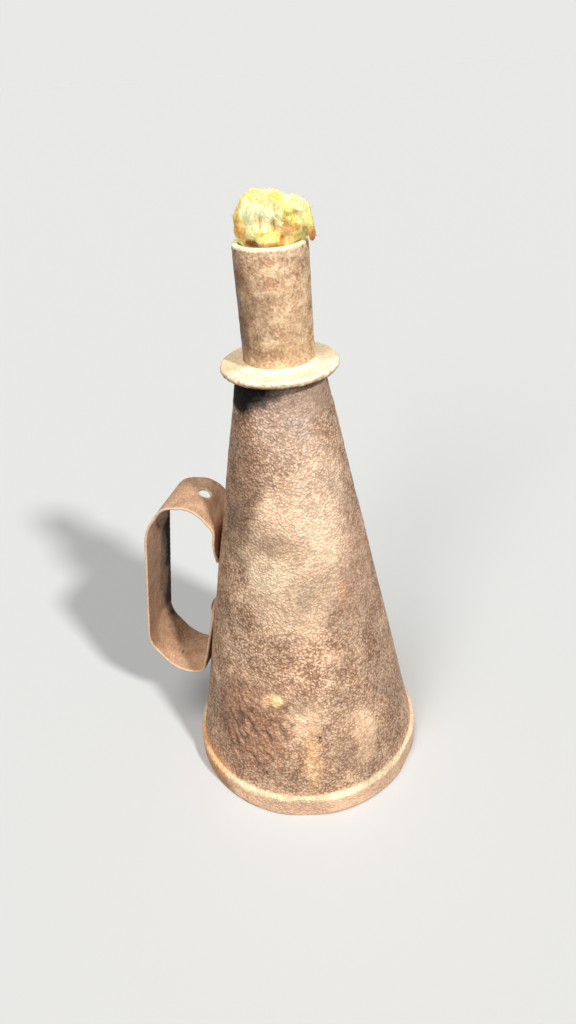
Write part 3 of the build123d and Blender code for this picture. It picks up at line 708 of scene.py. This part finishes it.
cottonStains = (
    {"at": tuftPlace(-0.0120, -0.003, 0.2355), "size": (0.0036, 0.0070, 0.0060), "tone": (255, 214, 112),
     "strength": 0.7, "raggedness": 300},
    {"at": tuftPlace(-0.0112, -0.005, 0.2330), "size": (0.0022, 0.0050, 0.0028), "tone": (250, 192, 96),
     "strength": 0.7, "raggedness": 350},
    # Painted highlight on the front of the tuft's left lump
    {"at": tuftPlace(-0.0030, -0.0080, 0.2372), "size": (0.0060, 0.0060, 0.0052), "tone": (255, 254, 214),
     "strength": 0.7, "raggedness": 200, "ragged": 0.7, "soft": 0.5},
    # Painted shade in three creases of the tuft
    {"at": tuftPlace(0.0024, -0.0080, 0.2390), "size": (0.0005, 0.0060, 0.0018), "tone": (186, 160, 70),
     "strength": 0.6, "soft": 0.5, "raggedness": 500, "ragged": 0.7},
    {"at": tuftPlace(0.0074, -0.0070, 0.2370), "size": (0.0026, 0.0050, 0.0008), "tone": (190, 164, 70),
     "strength": 0.45, "soft": 0.6, "raggedness": 500, "ragged": 1.2},
    {"at": tuftPlace(0.0012, -0.0080, 0.2344), "size": (0.0005, 0.0060, 0.0019), "tone": (176, 146, 56),
     "strength": 0.6, "soft": 0.5, "raggedness": 500, "ragged": 0.7},
    {"at": tuftPlace(0.0064, -0.0070, 0.2328), "size": (0.0050, 0.0040, 0.0016), "tone": (222, 154, 80),
     "strength": 0.75, "raggedness": 400, "ragged": 0.9},
    {"at": tuftPlace(0.0070, -0.0080, 0.2300), "size": (0.0060, 0.0040, 0.0014), "tone": (246, 206, 140),
     "strength": 0.7, "raggedness": 400, "ragged": 0.8},
    {"at": tuftPlace(-0.0010, -0.0080, 0.2318), "size": (0.0042, 0.0040, 0.0020), "tone": (255, 238, 112),
     "strength": 0.7, "raggedness": 300, "soft": 0.5},
    {"at": tuftPlace(-0.0064, -0.0080, 0.2290), "size": (0.0034, 0.0040, 0.0012), "tone": (124, 74, 32),
     "strength": 0.8, "raggedness": 400},
    {"at": tuftPlace(-0.0100, -0.0060, 0.2318), "size": (0.0026, 0.0050, 0.0020), "tone": (244, 184, 88),
     "strength": 0.7, "raggedness": 400, "ragged": 0.8},
    {"at": tuftPlace(0.0010, -0.0090, 0.2290), "size": (0.0042, 0.0040, 0.0009), "tone": (226, 142, 52),
     "strength": 0.7, "raggedness": 400},
    {"at": tuftPlace(0.0138, -0.0058, 0.2300), "size": (0.0026, 0.0030, 0.0034), "tone": (226, 150, 82),
     "strength": 0.9, "raggedness": 300},
    {"band": (0.2200, 0.2283), "tone": (118, 74, 36), "strength": 0.8, "soft": 0.0006, "ragged": 0.0006},
)
cotton = cottonMaterial("wickCotton", cottonStains)
dice = random.Random(tuftShape["seed"])
bm = bmesh.new()


def addBall(across, depth, height, radius):
    bmesh.ops.create_icosphere(bm, subdivisions=2, radius=radius, matrix=Matrix.Translation(tuftPlace(across, depth, height)))


for lump in tuftShape["lumps"]:
    (across, depth, height), half = lump["at"], lump["half"]
    bmesh.ops.create_icosphere(bm, subdivisions=3, radius=1.0, matrix=Matrix.Translation(tuftPlace(across, depth, height))
                               @ Matrix.Rotation(math.radians(tuftShape["turn"]), 4, "Z")
                               @ Matrix.Diagonal((half[0] * 0.84, half[1] * 0.84, half[2] * 0.84, 1)))
    for rib in range(lump["ribs"]):
        turn = 2 * math.pi * (rib + dice.uniform(-0.2, 0.2)) / lump["ribs"]
        reach, thick = dice.uniform(0.74, 0.84), lump["rib"] * dice.uniform(0.8, 1.15)
        for stride in range(15):
            rise = math.radians(-62 + 150 * stride / 14)
            bend = turn + lump["lean"] * stride / 14
            addBall(across + half[0] * reach * math.cos(rise) * math.cos(bend),
                    depth + half[1] * reach * math.cos(rise) * math.sin(bend),
                    height + half[2] * reach * math.sin(rise), thick * (1 - 0.25 * stride / 14))
for across, depth, height, radius in tuftShape["lock"] + tuftShape["bulge"]:
    addBall(across, depth, height, radius)
roots = tuftShape["roots"]
for rib in range(roots["count"]):
    turn, thick = 2 * math.pi * (rib + dice.uniform(-0.2, 0.2)) / roots["count"], roots["thick"] * dice.uniform(0.8, 1.1)
    for stride in range(7):
        addBall(roots["reach"] * math.cos(turn), roots["reach"] * math.sin(turn),
                roots["low"] + (roots["high"] - roots["low"]) * stride / 6, thick)
bmesh.ops.create_cone(bm, cap_ends=True, segments=48, radius1=roots["reach"], radius2=roots["reach"], depth=0.0050,
                      matrix=Matrix.Translation((0, 0, 0.2288)))
bm = voxelForm(bm, tuftShape["voxel"], tuftShape["softening"])


def tuftRelief(place):
    if place.z < 0.2270:
        return None
    crumple = noise.noise(place * 300) + noise.noise(place * 760) * 0.24 - 0.6 * abs(noise.noise(place * 180))
    height = crumple * tuftShape["crumple"] * smoothRise(place.z, 0.2270, 0.2300)
    if place.dot(away) < 0:
        for across, level, wide, tall, depth in tuftShape["dents"]:
            reach = math.hypot((place.dot(side) - across) / wide, (place.z - level) / tall)
            height -= depth * math.exp(-reach * reach)
    return height


roughen(bm, tuftRelief, 0.0006)
bm.normal_update()
surface = BVHTree.FromBMesh(bm)
seats = [(point.co.copy(), point.normal.copy()) for point in bm.verts if point.co.z > 0.2284]
seatPiece(finishMesh(bm, "wickTuft", cotton, 0), "wick", "wick_tuft")

hairs = bpy.data.curves.new("wickFibres", "CURVE")
hairs.dimensions = "3D"
hairs.bevel_depth = tuftShape["fibre"]
hairs.bevel_resolution = 0
hairs.use_fill_caps = True


def addHair(places, thickness):
    line = hairs.splines.new("POLY")
    line.points.add(len(places) - 1)
    for number, (knot, place) in enumerate(zip(line.points, places)):
        knot.co = (place.x, place.y, place.z, 1)
        knot.radius = thickness * (1 - 0.8 * abs(2 * number / (len(places) - 1) - 1) ** 3)


for number in range(tuftShape["strands"]):
    place, normal = dice.choice(seats)
    heading = Vector((dice.gauss(0, 0.3), dice.gauss(0, 0.3), dice.choice((-1, 1))))
    lift = dice.uniform(0.00001, 0.00016)
    places = []
    for stride in range(dice.randint(6, 12)):
        places.append(place + normal * lift * (0.5 + 0.5 * math.sin(stride * 1.3 + number)))
        heading += noise.noise_vector(place * 260) * 0.6
        heading -= normal * heading.dot(normal)
        heading.normalize()
        found = surface.find_nearest(place + heading * 0.0010)
        place, normal = found[0], found[1]
        if place.z < 0.2280:
            break
    if len(places) > 2:
        addHair(places, dice.uniform(0.7, 1.7))
for number in range(tuftShape["wisps"]):
    place, normal = dice.choice(seats)
    heading = normal * dice.uniform(0.2, 0.7) + noise.noise_vector(place * 260) + Vector((0, 0, dice.uniform(-0.3, 0.6)))
    heading.normalize()
    length = dice.uniform(0.0006, 0.0017)
    curl = Vector((dice.gauss(0, 1), dice.gauss(0, 1), dice.gauss(0, 1))) * 0.45
    places = [place - normal * 0.0002]
    for stride in range(4):
        places.append(places[-1] + (heading + curl * stride * 0.4) * length / 4)
    addHair(places, dice.uniform(0.35, 0.7))
hairObject = bpy.data.objects.new("wickFibres", hairs)
scene.collection.objects.link(hairObject)
fibreMesh = bpy.data.meshes.new_from_object(hairObject.evaluated_get(bpy.context.evaluated_depsgraph_get()))
bpy.data.objects.remove(hairObject)
fibreMesh.materials.clear()
fibreMesh.materials.append(cotton)
wickFibres = bpy.data.objects.new("wickFibres", fibreMesh)
scene.collection.objects.link(wickFibres)
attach(wickFibres, "wick")
print("wickFibres has", len(fibreMesh.polygons), "faces")

# Strands inside the tube and the can, each a three-ply twist
strandShape = {"bottom": 0.0103, "top": 0.2262, "radius": 0.0033, "ring": 0.00675, "plies": 3, "twists": 9,
               "steps": 120, "sides": 18}
strand = bmesh.new()
made = bmesh.ops.create_circle(strand, segments=strandShape["sides"], radius=strandShape["radius"],
                               matrix=Matrix.Translation((0, 0, strandShape["bottom"])))
for point in made["verts"]:
    lobe = 0.86 + 0.14 * abs(math.cos(strandShape["plies"] * math.atan2(point.co.y, point.co.x) / 2))
    point.co.xy *= lobe
bmesh.ops.spin(strand, geom=strand.verts[:] + strand.edges[:], cent=(0, 0, 0), axis=(0, 0, 1),
               dvec=(0, 0, (strandShape["top"] - strandShape["bottom"]) / strandShape["steps"]),
               angle=2 * math.pi * strandShape["twists"], steps=strandShape["steps"], use_merge=False)
bmesh.ops.holes_fill(strand, edges=strand.edges, sides=strandShape["sides"])
bmesh.ops.recalc_face_normals(strand, faces=strand.faces)
strandMesh = bpy.data.meshes.new("oneStrand")
strand.to_mesh(strandMesh)
strand.free()
bm = bmesh.new()
for number in range(7):
    turn, reach = number * math.pi / 3, strandShape["ring"] if number else 0
    first = len(bm.verts)
    bm.from_mesh(strandMesh)
    bm.verts.ensure_lookup_table()
    bmesh.ops.translate(bm, verts=bm.verts[first:], vec=(reach * math.cos(turn), reach * math.sin(turn), 0))
seatPiece(finishMesh(bm, "wickStrands", cottonMaterial("strandCotton"), 0), "wick", "wick_strands")
